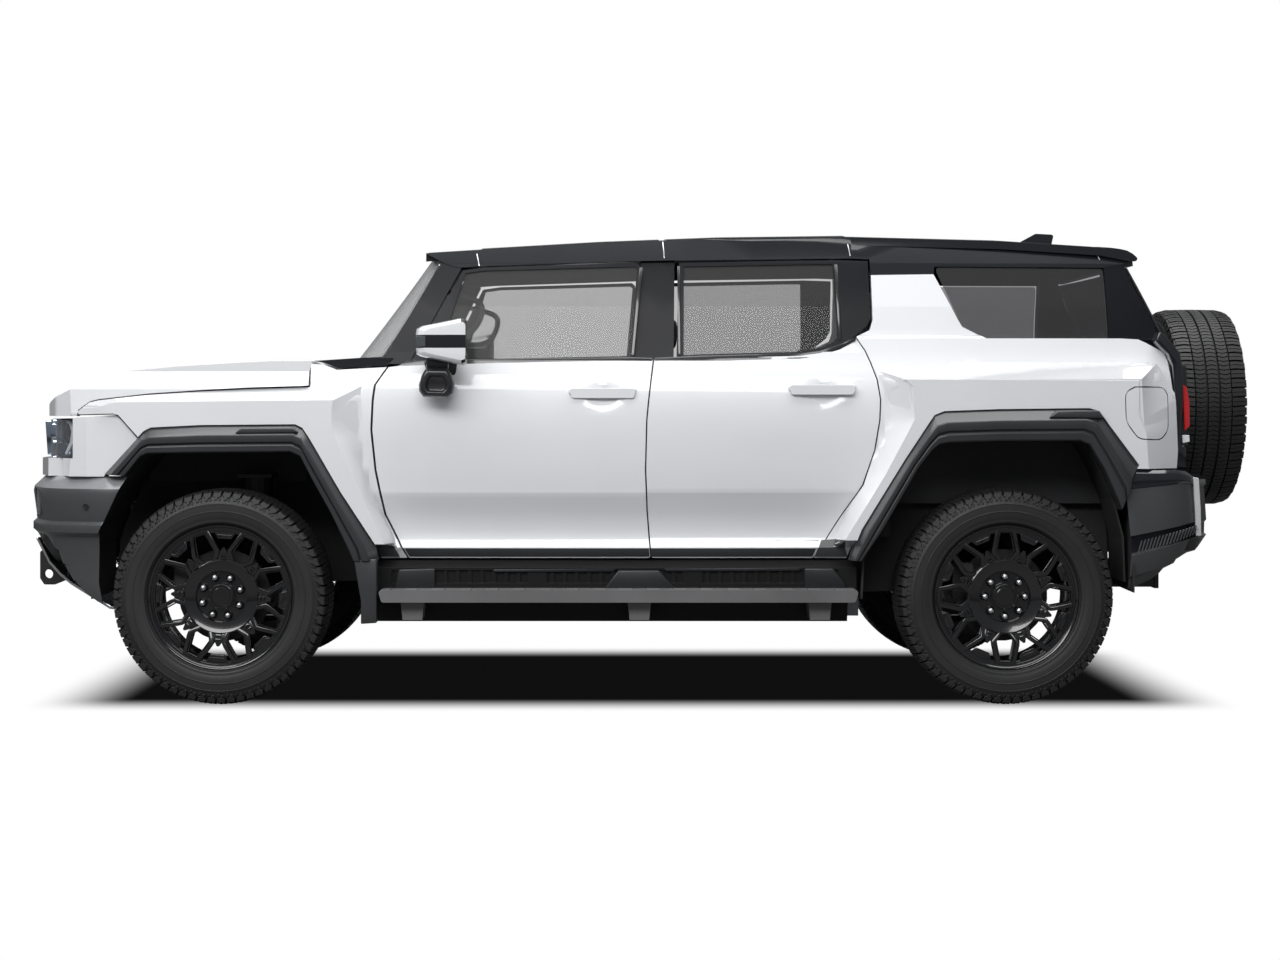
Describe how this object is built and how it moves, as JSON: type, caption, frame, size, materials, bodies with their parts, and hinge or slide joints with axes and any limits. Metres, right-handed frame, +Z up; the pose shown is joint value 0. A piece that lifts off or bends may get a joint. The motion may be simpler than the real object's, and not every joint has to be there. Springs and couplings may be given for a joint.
{
  "type": "lifted off-road four-wheel-drive passenger vehicle",
  "caption": "Tall off-road vehicle on big lug tyres, with hinged doors, hood and swing gate, steered wheels and a spare wheel on the gate.",
  "frame": {"origin": "on the ground, at the middle of the overall length and width", "axes": "+X forward, +Y to the vehicle's left, +Z up"},
  "size_m": [5.2524, 2.375, 2.0069],
  "materials": {
    "body_paint": "gloss white paint",
    "roof_black": "gloss black",
    "cladding": "grained dark grey moulding",
    "trim_black": "satin black",
    "glass_clear": "clear glass",
    "glass_tinted": "tinted glass",
    "tyre": "black rubber",
    "rim_black": "gloss black wheel paint",
    "dark_metal": "cast and painted dark metal",
    "alloy": "bright brushed alloy",
    "lamp_clear": "clear lens",
    "lamp_red": "red lens",
    "interior_dark": "soft dark grain",
    "seat_cover": "dark grained seat cover",
    "battery_case": "ribbed cast case"
  },
  "bodies": {
    "root": {"battery_pack": "battery_case", "body_frame": "dark_metal", "drive_units": "alloy", "suspension": "dark_metal", "hitch_receiver": "dark_metal", "floor_pan": "interior_dark", "front_trunk": "interior_dark", "arch_liners": "trim_black", "sill_cladding": "cladding", "side_steps": "cladding", "pillars": "roof_black", "roof_frame": "roof_black", "roof_panels": "glass_tinted", "quarter_glass": "glass_tinted", "windscreen": "glass_clear", "cowl_panel": "roof_black", "front_fenders": "body_paint", "rear_quarters": "body_paint", "front_fascia": "body_paint", "grille_band": "trim_black", "front_lights": "lamp_clear", "head_lamps": "lamp_clear", "front_bumper": "cladding", "front_skid_plate": "alloy", "rear_bumper": "cladding", "arch_flares": "cladding", "tail_lamps": "lamp_red", "tow_hooks": "dark_metal", "dashboard": "interior_dark", "seats": "seat_cover"},
    "hood": {"hood": "body_paint"},
    "gate": {"gate_panel": "body_paint", "gate_glass": "glass_tinted", "spare_tyre": "tyre", "spare_rim": "rim_black"},
    "charge_flap": {"charge_flap": "body_paint"},
    "steering_wheel": {"steering_wheel": "interior_dark"},
    "front_door_left": {"front_door_left": "body_paint", "front_door_glass_left": "glass_clear", "mirror_left": "body_paint"},
    "rear_door_left": {"rear_door_left": "body_paint", "rear_door_glass_left": "glass_tinted"},
    "front_upright_left": {"front_knuckle_left": "dark_metal"},
    "front_wheel_left": {"front_tyre_left": "tyre", "front_rim_left": "rim_black"},
    "rear_upright_left": {"rear_knuckle_left": "dark_metal"},
    "rear_wheel_left": {"rear_tyre_left": "tyre", "rear_rim_left": "rim_black"},
    "front_door_right": {"front_door_right": "body_paint", "front_door_glass_right": "glass_clear", "mirror_right": "body_paint"},
    "rear_door_right": {"rear_door_right": "body_paint", "rear_door_glass_right": "glass_tinted"},
    "front_upright_right": {"front_knuckle_right": "dark_metal"},
    "front_wheel_right": {"front_tyre_right": "tyre", "front_rim_right": "rim_black"},
    "rear_upright_right": {"rear_knuckle_right": "dark_metal"},
    "rear_wheel_right": {"rear_tyre_right": "tyre", "rear_rim_right": "rim_black"}
  },
  "joints": [
    {"name": "hood_lift", "type": "hinge", "parent": "root", "child": "hood", "pos_m": [1.29, 0, 1.4], "axis": [0, -1, 0], "range_deg": [0, 50]},
    {"name": "gate_swing", "type": "hinge", "parent": "root", "child": "gate", "pos_m": [-2.258, -0.83, 1.2], "axis": [0, 0, 1], "range_deg": [0, 85]},
    {"name": "charge_flap_swing", "type": "hinge", "parent": "root", "child": "charge_flap", "pos_m": [-2.131, 0.998, 1.2], "axis": [0, 0, 1], "range_deg": [0, 75]},
    {"name": "front_door_left_swing", "type": "hinge", "parent": "root", "child": "front_door_left", "pos_m": [1.09, 1.004, 1], "axis": [0, 0, -1], "range_deg": [0, 70]},
    {"name": "rear_door_left_swing", "type": "hinge", "parent": "root", "child": "rear_door_left", "pos_m": [-0.008, 1.004, 1], "axis": [0, 0, -1], "range_deg": [0, 70]},
    {"name": "front_left_steer", "type": "hinge", "parent": "root", "child": "front_upright_left", "pos_m": [1.7565, 0.79, 0.442], "axis": [0, 0, 1], "range_deg": [-32, 32]},
    {"name": "front_left_roll", "type": "hinge", "parent": "front_upright_left", "child": "front_wheel_left", "pos_m": [1.7565, 0.9225, 0.442], "axis": [0, 1, 0], "continuous": true},
    {"name": "rear_left_steer", "type": "hinge", "parent": "root", "child": "rear_upright_left", "pos_m": [-1.4615, 0.79, 0.442], "axis": [0, 0, 1], "range_deg": [-10, 10]},
    {"name": "rear_left_roll", "type": "hinge", "parent": "rear_upright_left", "child": "rear_wheel_left", "pos_m": [-1.4615, 0.9225, 0.442], "axis": [0, 1, 0], "continuous": true},
    {"name": "front_door_right_swing", "type": "hinge", "parent": "root", "child": "front_door_right", "pos_m": [1.09, -1.004, 1], "axis": [0, 0, 1], "range_deg": [0, 70]},
    {"name": "rear_door_right_swing", "type": "hinge", "parent": "root", "child": "rear_door_right", "pos_m": [-0.008, -1.004, 1], "axis": [0, 0, 1], "range_deg": [0, 70]},
    {"name": "front_right_steer", "type": "hinge", "parent": "root", "child": "front_upright_right", "pos_m": [1.7565, -0.79, 0.442], "axis": [0, 0, 1], "range_deg": [-32, 32]},
    {"name": "front_right_roll", "type": "hinge", "parent": "front_upright_right", "child": "front_wheel_right", "pos_m": [1.7565, -0.9225, 0.442], "axis": [0, 1, 0], "continuous": true},
    {"name": "rear_right_steer", "type": "hinge", "parent": "root", "child": "rear_upright_right", "pos_m": [-1.4615, -0.79, 0.442], "axis": [0, 0, 1], "range_deg": [-10, 10]},
    {"name": "rear_right_roll", "type": "hinge", "parent": "rear_upright_right", "child": "rear_wheel_right", "pos_m": [-1.4615, -0.9225, 0.442], "axis": [0, 1, 0], "continuous": true},
    {"name": "steering_wheel_turn", "type": "hinge", "parent": "root", "child": "steering_wheel", "pos_m": [0.664, 0.4, 1.128], "axis": [-0.9336, 0, 0.3584], "range_deg": [-450, 450]}
  ],
  "couplings": [
    {"joint": "front_right_steer", "follows": "front_left_steer", "ratio": 1},
    {"joint": "rear_right_steer", "follows": "rear_left_steer", "ratio": 1},
    {"joint": "steering_wheel_turn", "follows": "front_left_steer", "ratio": 14}
  ]
}
